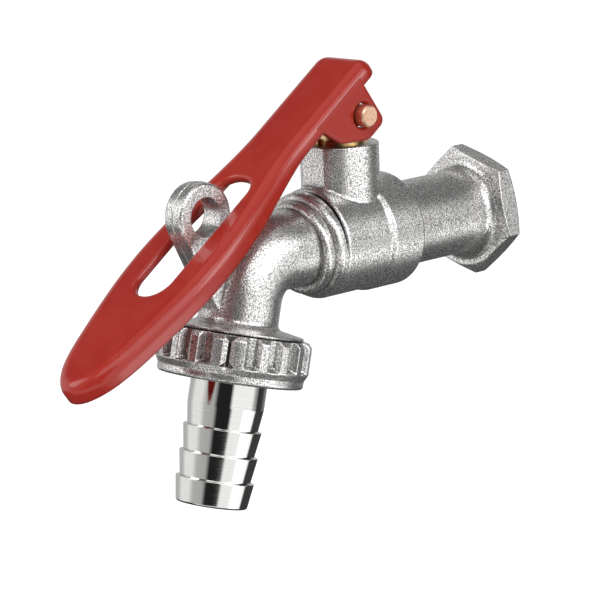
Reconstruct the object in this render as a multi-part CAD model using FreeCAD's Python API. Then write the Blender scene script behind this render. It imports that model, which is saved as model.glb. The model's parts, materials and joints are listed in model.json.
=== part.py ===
import FreeCAD, Part
import math
import os

from FreeCAD import Vector

# A lockable hose tap: a ball valve in a two-piece nickelled brass body, worked by a red lever
# whose long slot drops over an eye on the body, so that a padlock can hold the water off.
# Lengths are in millimetres, angles in degrees. X runs along the inlet and Z along the stem.
# Until it is written out, the model has the stem axis at x = 0. The finished frame has its
# origin at the centre of the inlet mouth, so every piece is moved along X at the end.

# Clearances
thread_clearance = 0.05
sliding_clearance = 0.05
seat_clearance = 0.04
gasket_clearance = 0.1
loose_clearance = 0.3

# Inlet adapter, screwed into the front of the body
housing_front_x = 13.8
tube_length = 26.6
tube_radius = 10.0
hex_across_flats = 27.0
hex_thickness = 5.0
hex_chamfer = 0.9
hex_turn = -11.8
hex_root_radius = 2.4
hex_face_inset = 0.1
hex_foot_radius = 12.5
adapter_thread_radius = 11.1
adapter_seal_width = 0.8
adapter_step_wall = 1.2
inlet_bore_radius = 7.48
inlet_bore_depth = 12.0

# Water way and ball
waterway_radius = 6.0
ball_radius = 9.0
ball_bore_radius = 5.5
ball_slot_width = 4.2
ball_slot_depth = 2.7
chamber_radius = 10.0
seat_back_x = 9.8
seat_width = 5.0
seat_bore_radius = 5.8

# Housing, from the front ring to the pipe
front_ring_radius = 13.4
front_ring_width = 9.4
front_ring_round = 0.5
shoulder_radius = 12.8
shoulder_step = 1.1
shoulder_length = 13.9
shoulder_round = 0.8
bead_lean = 6.0
bead_radius = 12.4
bead_width = 2.6
bead_round = 1.6
neck_radius = 10.9
neck_width = 2.4
neck_round = 1.2
pipe_radius = 9.1

# Elbow and outlet, which leans forward from the vertical
outlet_axis_x = 30.0
outlet_lean = 14.9
elbow_bend_radius = 11.5
skirt_bottom = 16.7
skirt_radius = 15.2
skirt_rim = 0.5
skirt_rise = 1.2
skirt_round = 1.5
skirt_edge_round = 0.2
outlet_thread_radius = 13.1
outlet_thread_length = 6.5
outlet_thread_lead = 0.4
outlet_relief_depth = 1.2
outlet_relief_width = 1.4

# Eye for the padlock, a flat rib on the front of the elbow
lug_thickness = 5.65
lug_edge_round = 0.8
eye_x = 44.2
eye_z = 11.8
eye_radius = 7.5
eye_hole_radius = 4.4
lug_foot_front = (41.0, -11.5)
lug_foot_back = (36.0, 0.0)
lug_root = (30.0, -9.0)

# Stem boss and the pieces inside it
boss_radius = 9.15
boss_top_z = 22.1
boss_flat_x = 8.5
boss_flat_z = 12.9
boss_edge_round = 0.4
boss_foot_round = 1.2
shelf_z = 11.4
stem_lower_radius = 4.2
thrust_washer_width = 0.8
stem_collar_radius = 6.3
stem_collar_width = 2.0
packing_width = 2.0
follower_width = 0.7
gland_thread_radius = 6.95
gland_top_radius = 5.8
gland_top_height = 1.0
gland_top_round = 0.3
gland_slot_width = 2.4
gland_slot_depth = 1.0
stem_radius = 4.6
stem_tang_width = 4.0
stem_tang_half_length = 3.9
stem_head_top = 4.1
stem_head_chamfer = 1.2
oring_section_radius = 0.5
oring_lift = 1.5
oring_pitch = 2.0

# Lever pin
pin_z = 28.9
pin_radius = 2.5
pin_near_end = 10.5
pin_head_radius = 3.7
pin_head_width = 1.5
pin_head_round = 0.8
pin_head_edge_round = 0.2
pin_end_chamfer = 0.35

# Lever, drawn flat with the pin at the origin and its tip towards -X, then leaned down
lever_lean = 35.0
lever_top = 9.3
lever_plate = 1.9
lever_wall = 1.9
lever_head_end = 10.1
lever_head_half_width = 8.3
lever_head_corner = 3.5
lever_inner_corner = 0.4
lever_neck_end = 16.0
lever_middle_at = 36.0
lever_middle_half = 10.8
lever_widest_at = 56.0
lever_widest_half = 13.2
lever_narrow_at = 82.0
lever_narrow_half = 9.9
lever_tip_side_at = 94.1
lever_tip_side_half = 5.2
lever_tip_side_inset = 0.8
lever_tip_at = 97.0
lever_edge_round = 3.0
lever_flange_head = 4.0
lever_flange_blade = 5.5
lever_flange_tip = 5.0
lever_head_flange_end = 20.0
lever_blade_flange_start = 40.0
lever_blade_flange_end = 82.0
lever_flange_round = 20.0
slot_near_end = 31.2
slot_far_end = 68.6
slot_half_width = 5.25
slot_near_round = 4.8
slot_far_round = 5.1
slot_edge_round = 0.9
ear_back = 4.4
ear_bottom = 5.6
ear_heel_round = 1.8
ear_lobe_from_pin = 2.2
ear_lobe_round = 5.0
ear_knee_from_pin = 9.0
ear_knee_below_pin = 0.5
ear_knee_round = 3.0
ear_front = 12.6
ear_hole_radius = 2.8
ear_hole_bevel = 0.5

# Union nut, with grip slots round its upper part
nut_gap = 0.3
nut_height = 10.6
nut_radius = 17.45
nut_rim_step = 0.85
nut_rim_height = 3.5
nut_lip = 1.4
nut_top_chamfer = 1.0
nut_top_round = 0.6
nut_foot_bevel = 1.6
nut_foot_round = 0.8
nut_slot_count = 20
nut_slot_turn = 7.0
nut_slot_depth = 1.75
nut_slot_floor_half_width = 0.8
nut_slot_floor_foot = 4.3
nut_slot_mouth_half_width = 1.8
nut_slot_mouth_foot = 3.5
nut_slot_corner = 0.6
nut_seam_slots = (2, 12)
nut_seam_depth = 0.6
nut_seam_half_width = 1.7
nut_split_depth = 1.6
nut_split_width = 0.6
nut_notch_half_width = 1.8
nut_notch_height = 1.6
nut_top_notch_depth = 2.2

# Hose tail and its gasket
gasket_width = 1.8
tail_flange_width = 1.2
tail_bore_radius = 6.3
tail_radius = 8.7
tail_cylinder_end = 33.5
tail_cylinder_round = 0.4
barb_count = 3
barb_pitch = 5.85
barb_first = 38.5
barb_radius = 8.95
barb_root_radius = 8.05
barb_edge_round = 0.15
tail_end_radius = 8.1
tail_end_round = 0.6

# How close two numbers must be to count as the same
same_place = 1e-6
same_surface = 1e-4

# Places that follow from the sizes above
mouth_x = housing_front_x + tube_length + hex_thickness
hex_front_x = mouth_x - hex_thickness
front_ring_back = housing_front_x - front_ring_width
shoulder_front = front_ring_back - shoulder_step
shoulder_back = shoulder_front - shoulder_length
bead_back = -bead_width
neck_back = bead_back - neck_width
elbow_turn = 90.0 - outlet_lean
elbow_reach = elbow_bend_radius * math.tan(math.radians(elbow_turn / 2))
elbow_start = -outlet_axis_x + elbow_reach
seat_front_x = seat_back_x - seat_width
seal_step_x = stem_lower_radius + sliding_clearance + adapter_step_wall
adapter_nose_x = seal_step_x + adapter_seal_width
washer_top = shelf_z + thrust_washer_width
collar_top = washer_top + stem_collar_width
packing_top = collar_top + packing_width
follower_top = packing_top + follower_width
gland_top = boss_top_z + gland_top_height
packing_bore_radius = stem_collar_radius + sliding_clearance
outlet_face = skirt_bottom + outlet_thread_length
nut_top = skirt_bottom + nut_gap
nut_bottom = nut_top + nut_height
tail_flange_top = outlet_face + gasket_width
tail_flange_bottom = tail_flange_top + tail_flange_width
tail_end = barb_first + barb_count * barb_pitch
nut_thread_radius = outlet_thread_radius + thread_clearance
nut_rim_radius = nut_radius - nut_rim_step
nut_slot_floor_radius = nut_radius - nut_slot_depth
tail_flange_radius = nut_thread_radius - loose_clearance
ear_inner = lever_head_half_width - lever_wall


def rounded_wire(corners, place):
    """A closed outline through (p, q, corner radius), put in space by the function place."""
    stretches = []
    for number, (p, q, radius) in enumerate(corners):
        here = Vector(p, q, 0)
        if radius == 0:
            stretches.append((here, None, here))
            continue
        before = corners[number - 1]
        after = corners[(number + 1) % len(corners)]
        back = (Vector(before[0], before[1], 0) - here).normalize()
        ahead = (Vector(after[0], after[1], 0) - here).normalize()
        half_angle = back.getAngle(ahead) / 2
        reach = radius / math.tan(half_angle)
        centre = here + (back + ahead).normalize() * (radius / math.sin(half_angle))
        middle = centre + (here - centre).normalize() * radius
        stretches.append((here + back * reach, middle, here + ahead * reach))
    edges = []
    for number, (start, middle, end) in enumerate(stretches):
        previous_end = stretches[number - 1][2]
        if start.distanceToPoint(previous_end) > same_place:
            edges.append(Part.makeLine(place(previous_end), place(start)))
        if middle is not None:
            edges.append(Part.Arc(place(start), place(middle), place(end)).toShape())
    return Part.Wire(edges)


def along_x(point):
    """Profile points (x, radius) for a piece turned about X."""
    return Vector(point.x, 0, point.y)


def along_z(point):
    """Profile points (height, radius) for a piece turned about Z."""
    return Vector(point.y, 0, point.x)


def down_outlet(point):
    """Profile points (distance down the outlet, radius) for a piece turned about Z."""
    return Vector(point.y, 0, -point.x)


def side_view(point):
    """Outline points (x, z) for a plate that stands along X."""
    return Vector(point.x, 0, point.y)


def top_view(point):
    """Outline points (x, y) for a plate that lies flat."""
    return Vector(point.x, point.y, 0)


def turned(corners, place):
    """A solid of revolution. A corner given as (p, q) is sharp."""
    full = [corner if len(corner) == 3 else (corner[0], corner[1], 0) for corner in corners]
    face = Part.Face(rounded_wire(full, place))
    axis = Vector(1, 0, 0) if place is along_x else Vector(0, 0, 1)
    return face.revolve(Vector(0, 0, 0), axis, 360)


def ring_x(inner, outer, start, end):
    return turned([(start, inner), (start, outer), (end, outer), (end, inner)], along_x)


def ring_z(inner, outer, start, end):
    return turned([(start, inner), (start, outer), (end, outer), (end, inner)], along_z)


def plate_along_y(wire, low, high):
    """An upright plate from the outline in the plane y = 0."""
    plate = Part.Face(wire).extrude(Vector(0, high - low, 0))
    plate.translate(Vector(0, low, 0))
    return plate


def on_outlet(shape):
    """Moves a piece built about Z to the leaning outlet axis."""
    shape.rotate(Vector(0, 0, 0), Vector(0, 1, 0), outlet_lean)
    shape.translate(Vector(-outlet_axis_x, 0, 0))
    return shape


def edges_at(shape, test):
    return [edge for edge in shape.Edges if test(edge)]


def elbow(radius):
    """The bend between the pipe and the leaning outlet, as a turned circle."""
    circle = Part.makeCircle(radius, Vector(elbow_start, 0, 0), Vector(1, 0, 0))
    face = Part.Face(Part.Wire(circle))
    centre = Vector(elbow_start, 0, -elbow_bend_radius)
    return face.revolve(centre, Vector(0, -1, 0), elbow_turn)


def padlock_lug():
    """The eye and its rib, forged with the body. The rib's root lies inside the elbow."""
    eye = Part.makeCylinder(eye_radius, lug_thickness, Vector(-eye_x, -lug_thickness / 2, eye_z),
                            Vector(0, 1, 0))
    foot = Vector(-lug_foot_front[0], 0, lug_foot_front[1])
    to_eye = Vector(-eye_x, 0, eye_z) - foot
    lean = math.asin(eye_radius / to_eye.Length)
    heading = math.atan2(to_eye.z, to_eye.x) + lean
    reach = math.sqrt(to_eye.Length ** 2 - eye_radius ** 2)
    touch = foot + Vector(math.cos(heading), 0, math.sin(heading)) * reach
    corners = [
        (touch.x, touch.z, 0),
        (-eye_x, eye_z, 0),
        (-eye_x + eye_radius, eye_z, 0),
        (-lug_foot_back[0], lug_foot_back[1], 0),
        (-lug_root[0], lug_root[1], 0),
        (foot.x, foot.z, 0),
    ]
    rib = plate_along_y(rounded_wire(corners, side_view), -lug_thickness / 2, lug_thickness / 2)
    lug = eye.fuse(rib).removeSplitter()
    outer = edges_at(lug, lambda edge: abs(abs(edge.BoundBox.Center.y) - lug_thickness / 2) < same_place)
    return lug.makeFillet(lug_edge_round, outer)


def is_boss_foot(edge):
    """True for the edges along which the boss meets the housing."""
    def on_boss(point):
        return abs(math.hypot(point.x, point.y) - boss_radius) < same_surface
    ends = [vertex.Point for vertex in edge.Vertexes]
    middle = edge.valueAt((edge.FirstParameter + edge.LastParameter) / 2)
    return all(on_boss(point) for point in ends + [middle]) and 0 < edge.BoundBox.ZMax < boss_flat_z


def body():
    """The forged body: housing, boss, pipe, elbow, outlet and padlock eye in one piece."""
    housing = turned([
        (elbow_start, 0),
        (elbow_start, pipe_radius),
        (shoulder_back, pipe_radius),
        (shoulder_back, shoulder_radius, shoulder_round),
        (shoulder_front, shoulder_radius, shoulder_round),
        (front_ring_back, front_ring_radius, front_ring_round),
        (housing_front_x, front_ring_radius, front_ring_round),
        (housing_front_x, 0),
    ], along_x)
    bead = turned([
        (neck_back, 0),
        (neck_back, neck_radius, neck_round),
        (bead_back, neck_radius),
        (bead_back, bead_radius, bead_round),
        (0, bead_radius),
        (0, 0),
    ], along_x)
    bead.rotate(Vector(0, 0, 0), Vector(0, 1, 0), -bead_lean)
    bead.translate(Vector(shoulder_back, 0, 0))
    housing = housing.fuse(bead)
    boss = ring_z(0, boss_radius, 0, boss_top_z)
    forging = housing.fuse(boss)
    forging = forging.makeFillet(boss_foot_round, edges_at(forging, is_boss_foot))
    rim = edges_at(forging, lambda edge: edge.BoundBox.ZMin > boss_top_z - boss_edge_round)
    forging = forging.makeFillet(boss_edge_round, rim)
    flat = Part.makeBox(boss_radius, 2 * boss_radius, boss_top_z)
    flat.translate(Vector(-boss_flat_x - boss_radius, -boss_radius, boss_flat_z))
    forging = forging.cut(flat)
    outlet = turned([
        (elbow_reach, 0),
        (elbow_reach, pipe_radius),
        (skirt_bottom - skirt_rim - skirt_rise, pipe_radius, skirt_round),
        (skirt_bottom - skirt_rim, skirt_radius, skirt_edge_round),
        (skirt_bottom, skirt_radius),
        (skirt_bottom, outlet_thread_radius - outlet_relief_depth),
        (skirt_bottom + outlet_relief_width, outlet_thread_radius - outlet_relief_depth),
        (skirt_bottom + outlet_relief_width + outlet_relief_depth, outlet_thread_radius),
        (outlet_face, outlet_thread_radius, outlet_thread_lead),
        (outlet_face, 0),
    ], down_outlet)
    solid = forging.fuse([elbow(pipe_radius), on_outlet(outlet), padlock_lug()])
    chamber = turned([
        (elbow_start, 0),
        (elbow_start, waterway_radius),
        (-seat_back_x, waterway_radius),
        (-seat_back_x, chamber_radius),
        (seal_step_x, chamber_radius),
        (seal_step_x, adapter_thread_radius + thread_clearance),
        (housing_front_x, adapter_thread_radius + thread_clearance),
        (housing_front_x, 0),
    ], along_x)
    stem_bore = turned([
        (0, 0),
        (0, stem_lower_radius + sliding_clearance),
        (shelf_z, stem_lower_radius + sliding_clearance),
        (shelf_z, packing_bore_radius),
        (follower_top, packing_bore_radius),
        (follower_top, gland_thread_radius + thread_clearance),
        (boss_top_z, gland_thread_radius + thread_clearance),
        (boss_top_z, 0),
    ], along_z)
    outlet_bore = on_outlet(turned([
        (elbow_reach, 0),
        (elbow_reach, waterway_radius),
        (outlet_face, waterway_radius),
        (outlet_face, 0),
    ], down_outlet))
    eye_hole = Part.makeCylinder(eye_hole_radius, 2 * lug_thickness,
                                 Vector(-eye_x, -lug_thickness, eye_z), Vector(0, 1, 0))
    return solid.cut([chamber, stem_bore, outlet_bore, elbow(waterway_radius), eye_hole])


def inlet_adapter():
    """The hexagon and tube, with an outside thread that holds the front seat in the body."""
    corner_radius = hex_across_flats / 2 / math.cos(math.radians(30))
    points = []
    for side in range(6):
        angle = math.radians(hex_turn + 60 * side)
        across = corner_radius * Vector(0, -math.sin(angle), math.cos(angle))
        points.append(Vector(hex_front_x, 0, 0) + across)
    outline = Part.makePolygon(points + [points[0]])
    hexagon = Part.Face(outline).extrude(Vector(hex_thickness, 0, 0))
    face_radius = hex_across_flats / 2 - hex_face_inset
    chamfer = turned([
        (hex_front_x, 0),
        (hex_front_x, face_radius),
        (hex_front_x + hex_chamfer, corner_radius),
        (mouth_x - hex_chamfer, corner_radius),
        (mouth_x, face_radius),
        (mouth_x, 0),
    ], along_x)
    tube = turned([
        (adapter_nose_x, 0),
        (adapter_nose_x, adapter_thread_radius),
        (housing_front_x, adapter_thread_radius),
        (housing_front_x, tube_radius),
        (hex_front_x, tube_radius, hex_root_radius),
        (hex_front_x, hex_foot_radius),
        (hex_front_x + hex_chamfer, hex_foot_radius),
        (hex_front_x + hex_chamfer, 0),
    ], along_x)
    bore = turned([
        (adapter_nose_x, 0),
        (adapter_nose_x, chamber_radius),
        (seat_back_x, chamber_radius),
        (seat_back_x, waterway_radius),
        (mouth_x - inlet_bore_depth, waterway_radius),
        (mouth_x - inlet_bore_depth, inlet_bore_radius),
        (mouth_x, inlet_bore_radius),
        (mouth_x, 0),
    ], along_x)
    return hexagon.common(chamfer).fuse(tube).cut(bore)


def adapter_seal_ring():
    return ring_x(chamber_radius + sliding_clearance, adapter_thread_radius, seal_step_x, adapter_nose_x)


def seat(side):
    """A plastic seat ring with a hollow face that fits the ball. side is 1 in front, -1 behind."""
    start, end = sorted((side * seat_front_x, side * seat_back_x))
    ring = ring_x(seat_bore_radius, chamber_radius - sliding_clearance, start, end)
    return ring.cut(Part.makeSphere(ball_radius + seat_clearance))


def ball():
    """The ball is shut: its bore lies across the pipe, and the stem's slot lies along it."""
    solid = Part.makeSphere(ball_radius)
    bore = Part.makeCylinder(ball_bore_radius, 4 * ball_radius, Vector(0, -2 * ball_radius, 0),
                             Vector(0, 1, 0))
    slot = Part.makeBox(4 * stem_tang_half_length, ball_slot_width, ball_radius)
    slot.translate(Vector(-2 * stem_tang_half_length, -ball_slot_width / 2,
                          ball_radius - ball_slot_depth))
    return solid.cut([bore, slot])


def stem():
    """Turned stem with a tang in the ball, a collar under the packing and a drilled head."""
    tang_bottom = ball_radius - ball_slot_depth + gasket_clearance
    shank_bottom = ball_radius + loose_clearance
    head_top = pin_z + stem_head_top
    corners = [
        (tang_bottom, 0),
        (tang_bottom, stem_lower_radius),
        (washer_top, stem_lower_radius),
        (washer_top, stem_collar_radius),
        (collar_top, stem_collar_radius),
        (collar_top, stem_radius),
    ]
    for number in range(2):
        low = follower_top + oring_lift + number * oring_pitch - oring_section_radius - sliding_clearance
        high = low + 2 * (oring_section_radius + sliding_clearance)
        floor = stem_radius - 2 * oring_section_radius
        corners += [(low, stem_radius), (low, floor), (high, floor), (high, stem_radius)]
    corners += [
        (head_top - stem_head_chamfer, stem_radius),
        (head_top, stem_radius - stem_head_chamfer),
        (head_top, 0),
    ]
    solid = turned(corners, along_z)
    height = shank_bottom - tang_bottom
    for side in (-1, 1):
        block = Part.makeBox(4 * stem_lower_radius, stem_lower_radius, height)
        block.translate(Vector(-2 * stem_lower_radius, -stem_lower_radius / 2, tang_bottom))
        block.translate(Vector(0, side * (stem_lower_radius + stem_tang_width) / 2, 0))
        solid = solid.cut(block)
        end = Part.makeBox(stem_lower_radius, 4 * stem_lower_radius, height)
        end.translate(Vector(-stem_lower_radius / 2, -2 * stem_lower_radius, tang_bottom))
        end.translate(Vector(side * (stem_lower_radius / 2 + stem_tang_half_length), 0, 0))
        solid = solid.cut(end)
    hole = Part.makeCylinder(pin_radius + thread_clearance, 4 * stem_radius,
                             Vector(0, -2 * stem_radius, pin_z), Vector(0, 1, 0))
    return solid.cut(hole)


def thrust_washer():
    return ring_z(stem_lower_radius + sliding_clearance, stem_collar_radius, shelf_z, washer_top)


def gland_packing():
    return ring_z(stem_radius + sliding_clearance, stem_collar_radius, collar_top, packing_top)


def packing_follower():
    return ring_z(stem_radius + sliding_clearance, stem_collar_radius, packing_top, follower_top)


def stem_oring(number):
    height = follower_top + oring_lift + number * oring_pitch
    middle = stem_radius - oring_section_radius
    return Part.makeTorus(middle, oring_section_radius, Vector(0, 0, height))


def gland_nut():
    """Brass nut that presses the packing down, with a slot across its top for a spanner."""
    solid = turned([
        (follower_top, stem_radius + sliding_clearance),
        (follower_top, gland_thread_radius),
        (boss_top_z, gland_thread_radius),
        (boss_top_z, gland_top_radius),
        (gland_top, gland_top_radius, gland_top_round),
        (gland_top, stem_radius + sliding_clearance),
    ], along_z)
    slot = Part.makeBox(4 * gland_top_radius, gland_slot_width, gland_slot_depth * 2)
    slot.translate(Vector(-2 * gland_top_radius, -gland_slot_width / 2, gland_top - gland_slot_depth))
    return solid.cut(slot)


def lever_pin():
    """Plain pin, headed at the far side, pressed through the stem's head."""
    far_end = lever_head_half_width + loose_clearance
    pin = turned([
        (-pin_near_end, 0),
        (-pin_near_end, pin_radius - pin_end_chamfer),
        (-pin_near_end + pin_end_chamfer, pin_radius),
        (far_end, pin_radius),
        (far_end, pin_head_radius, pin_head_edge_round),
        (far_end + pin_head_width, pin_head_radius, pin_head_round),
        (far_end + pin_head_width, 0),
    ], along_z)
    pin.rotate(Vector(0, 0, 0), Vector(1, 0, 0), -90)
    pin.translate(Vector(0, 0, pin_z))
    return pin


def lever_outline(inset):
    """The lever's outline seen from above, drawn inset from its outer edge."""
    half = lever_head_half_width - inset
    end = lever_head_end - inset
    corner = max(lever_head_corner - inset, lever_inner_corner)
    eased = corner * (1 - math.cos(math.pi / 4))
    edges = [Part.makeLine(Vector(end, corner - half, 0), Vector(end, half - corner, 0))]
    for side in (-1, 1):
        corner_start = Vector(end, side * (half - corner), 0)
        corner_middle = Vector(end - eased, side * (half - eased), 0)
        corner_end = Vector(end - corner, side * half, 0)
        neck = Vector(-lever_neck_end, side * half, 0)
        edges.append(Part.Arc(corner_start, corner_middle, corner_end).toShape())
        edges.append(Part.makeLine(corner_end, neck))
        curve = Part.BSplineCurve()
        curve.interpolate([
            neck,
            Vector(-lever_middle_at, side * (lever_middle_half - inset), 0),
            Vector(-lever_widest_at, side * (lever_widest_half - inset), 0),
            Vector(-lever_narrow_at, side * (lever_narrow_half - inset), 0),
            Vector(-lever_tip_side_at, side * (lever_tip_side_half - lever_tip_side_inset * inset), 0),
            Vector(-lever_tip_at + inset, 0, 0),
        ], InitialTangent=Vector(-1, 0, 0), FinalTangent=Vector(0, -side, 0))
        edges.append(curve.toShape())
    return Part.Wire(Part.__sortEdges__(edges))


def lever_depth():
    """The side view of the lever's edge: shallow at the head, deepest along the blade."""
    past_head = lever_head_end + loose_clearance
    past_tip = -lever_tip_at - loose_clearance
    above = lever_top + loose_clearance
    head_low = lever_top - lever_flange_head
    blade_low = lever_top - lever_flange_blade
    tip_low = lever_top - lever_flange_tip
    profile = rounded_wire([
        (past_head, above, 0),
        (past_head, head_low, 0),
        (-lever_head_flange_end, head_low, lever_flange_round),
        (-lever_blade_flange_start, blade_low, lever_flange_round),
        (-lever_blade_flange_end, blade_low, lever_flange_round),
        (past_tip, tip_low, 0),
        (past_tip, above, 0),
    ], side_view)
    return plate_along_y(profile, -2 * lever_widest_half, 2 * lever_widest_half)


def ears():
    """Both ears as one block, which the hollow under the lever parts into two."""
    plate_low = lever_top - lever_plate
    outline = rounded_wire([
        (ear_back, plate_low, 0),
        (ear_back, -ear_bottom, ear_heel_round),
        (-ear_lobe_from_pin, -ear_bottom, ear_lobe_round),
        (-ear_knee_from_pin, -ear_knee_below_pin, ear_knee_round),
        (-ear_front, plate_low, 0),
    ], side_view)
    return plate_along_y(outline, -lever_head_half_width, lever_head_half_width)


def pin_passage():
    """The hole through both ears, bevelled where it opens to the outside."""
    bevel_radius = ear_hole_radius + ear_hole_bevel
    half = lever_head_half_width
    passage = turned([
        (-half - ear_hole_bevel, 0),
        (-half - ear_hole_bevel, bevel_radius + ear_hole_bevel),
        (-half + ear_hole_bevel, ear_hole_radius),
        (half - ear_hole_bevel, ear_hole_radius),
        (half + ear_hole_bevel, bevel_radius + ear_hole_bevel),
        (half + ear_hole_bevel, 0),
    ], along_z)
    passage.rotate(Vector(0, 0, 0), Vector(1, 0, 0), 90)
    return passage


def lever_slot():
    outline = rounded_wire([
        (-slot_near_end, -slot_half_width, slot_near_round),
        (-slot_near_end, slot_half_width, slot_near_round),
        (-slot_far_end, slot_half_width, slot_far_round),
        (-slot_far_end, -slot_half_width, slot_far_round),
    ], top_view)
    return Part.Face(outline).extrude(Vector(0, 0, 2 * lever_top))


def is_slot_rim(edge):
    """True for the upper edges of the lever's slot."""
    box = edge.BoundBox
    along = -slot_far_end - slot_edge_round < box.XMin and box.XMax < -slot_near_end + slot_edge_round
    across = max(-box.YMin, box.YMax) < slot_half_width + slot_edge_round
    return along and across and box.ZMin > lever_top - lever_plate / 2


def lever():
    """Pressed lever: a plate with its edge turned down all round, a slot and two ears."""
    outer = Part.Face(lever_outline(0)).extrude(Vector(0, 0, -lever_flange_blade))
    outer.translate(Vector(0, 0, lever_top))
    top_edges = edges_at(outer, lambda edge: edge.BoundBox.ZMin > lever_top - lever_plate)
    outer = outer.makeFillet(lever_edge_round, top_edges).common(lever_depth())
    hollow = Part.Face(lever_outline(lever_wall)).extrude(Vector(0, 0, -2 * lever_top))
    hollow.translate(Vector(0, 0, lever_top - lever_plate))
    solid = outer.fuse(ears()).cut([hollow, lever_slot(), pin_passage()]).removeSplitter()
    solid = solid.makeFillet(slot_edge_round, edges_at(solid, is_slot_rim))
    solid.rotate(Vector(0, 0, 0), Vector(0, 1, 0), -lever_lean)
    solid.translate(Vector(0, 0, pin_z))
    return solid


def slot_wire(radius, half_width, foot):
    """A grip slot's outline on the plane at this radius. It runs out at the nut's top."""
    def place(point):
        return Vector(radius, point.x, point.y)
    return rounded_wire([
        (-half_width, 0, 0),
        (half_width, 0, 0),
        (half_width, foot - nut_bottom, nut_slot_corner),
        (-half_width, foot - nut_bottom, nut_slot_corner),
    ], place)


def grip_slot():
    """A slot that narrows towards its floor, as a forging die leaves it."""
    past = nut_radius + loose_clearance
    share = (past - nut_slot_floor_radius) / nut_slot_depth
    spread = share * (nut_slot_mouth_half_width - nut_slot_floor_half_width)
    drop = share * (nut_slot_mouth_foot - nut_slot_floor_foot)
    floor = slot_wire(nut_slot_floor_radius, nut_slot_floor_half_width, nut_slot_floor_foot)
    mouth = slot_wire(past, nut_slot_floor_half_width + spread, nut_slot_floor_foot + drop)
    return Part.makeLoft([floor, mouth], True, True)


def seam_notch(radius, base, reach):
    """A three-cornered notch that opens outward from this radius."""
    def place(point):
        return Vector(radius, point.x, point.y)
    corners = [(-nut_notch_half_width, base, 0), (nut_notch_half_width, base, 0), (0, base + reach, 0)]
    return Part.Face(rounded_wire(corners, place)).extrude(Vector(nut_radius, 0, 0))


def die_seam():
    """The seam of the two dies: a shallow valley, a thin split and a notch at each end of it."""
    valley = Part.Face(rounded_wire([
        (nut_radius - nut_seam_depth, 0, 0),
        (nut_radius + nut_seam_depth, 2 * nut_seam_half_width, 0),
        (nut_radius + nut_seam_depth, -2 * nut_seam_half_width, 0),
    ], top_view)).extrude(Vector(0, 0, -2 * nut_bottom))
    split = Part.makeBox(nut_radius, nut_split_width, nut_bottom - nut_rim_height)
    split.translate(Vector(nut_radius - nut_split_depth, -nut_split_width / 2,
                           nut_rim_height - nut_bottom))
    top_notch = seam_notch(nut_radius - nut_top_notch_depth, -nut_top, -nut_notch_height)
    foot_notch = seam_notch(nut_rim_radius, nut_rim_height - nut_bottom, nut_notch_height)
    return valley.fuse([split, top_notch, foot_notch])


def nut_cutter(number):
    """One of the cuts round the nut. A seam stands where two of the slots would be."""
    cutter = die_seam() if number in nut_seam_slots else grip_slot()
    cutter.rotate(Vector(0, 0, 0), Vector(0, 0, 1), nut_slot_turn + number * 360 / nut_slot_count)
    return cutter


def union_nut():
    """Hand nut with an inside thread, a lip that lifts the hose tail, and grip slots."""
    solid = turned([
        (nut_top, nut_thread_radius),
        (nut_top, nut_radius - nut_top_chamfer),
        (nut_top + nut_top_chamfer, nut_radius, nut_top_round),
        (nut_bottom - nut_rim_height, nut_radius),
        (nut_bottom - nut_rim_height + nut_foot_bevel, nut_rim_radius),
        (nut_bottom, nut_rim_radius, nut_foot_round),
        (nut_bottom, tail_radius + loose_clearance),
        (nut_bottom - nut_lip, tail_radius + loose_clearance),
        (nut_bottom - nut_lip, nut_thread_radius),
    ], down_outlet)
    return on_outlet(solid.cut([nut_cutter(number) for number in range(nut_slot_count)]))


def tail_gasket():
    ring = turned([
        (outlet_face, waterway_radius + gasket_clearance),
        (outlet_face, tail_flange_radius),
        (tail_flange_top, tail_flange_radius),
        (tail_flange_top, waterway_radius + gasket_clearance),
    ], down_outlet)
    return on_outlet(ring)


def hose_tail():
    """Turned tail: a flange held by the nut, a plain cylinder and the barbs for the hose."""
    corners = [
        (tail_flange_top, tail_bore_radius),
        (tail_flange_top, tail_flange_radius),
        (tail_flange_bottom, tail_flange_radius),
        (tail_flange_bottom, tail_radius),
        (tail_cylinder_end, tail_radius, tail_cylinder_round),
    ]
    for number in range(barb_count):
        edge = barb_first + number * barb_pitch
        corners.append((edge, barb_root_radius))
        corners.append((edge, barb_radius, barb_edge_round))
    corners.append((tail_end, tail_end_radius, tail_end_round))
    corners.append((tail_end, tail_bore_radius))
    return on_outlet(turned(corners, down_outlet))


def write(name, shape):
    """Moves a finished piece into the part's frame and writes it."""
    shape.translate(Vector(-mouth_x, 0, 0))
    if not shape.isValid():
        raise ValueError(name + " isn't a valid solid")
    if shape.ShapeType == "Compound" and len(shape.Solids) == 1:
        shape = shape.Solids[0]
    shape.exportStep("parts/" + name + ".step")
    box = shape.BoundBox
    print(f"{name:20s} solids {len(shape.Solids)}  volume {shape.Volume:9.1f}  "
          f"x {box.XMin:7.2f} {box.XMax:7.2f}  y {box.YMin:7.2f} {box.YMax:7.2f}  "
          f"z {box.ZMin:7.2f} {box.ZMax:7.2f}")


os.makedirs("parts", exist_ok=True)
write("body", body())
write("inlet_adapter", inlet_adapter())
write("adapter_seal_ring", adapter_seal_ring())
write("seat_front", seat(1))
write("seat_rear", seat(-1))
write("ball", ball())
write("stem", stem())
write("thrust_washer", thrust_washer())
write("gland_packing", gland_packing())
write("packing_follower", packing_follower())
write("stem_oring_lower", stem_oring(0))
write("stem_oring_upper", stem_oring(1))
write("gland_nut", gland_nut())
write("lever_pin", lever_pin())
write("lever", lever())
write("union_nut", union_nut())
write("tail_gasket", tail_gasket())
write("hose_tail", hose_tail())
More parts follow.
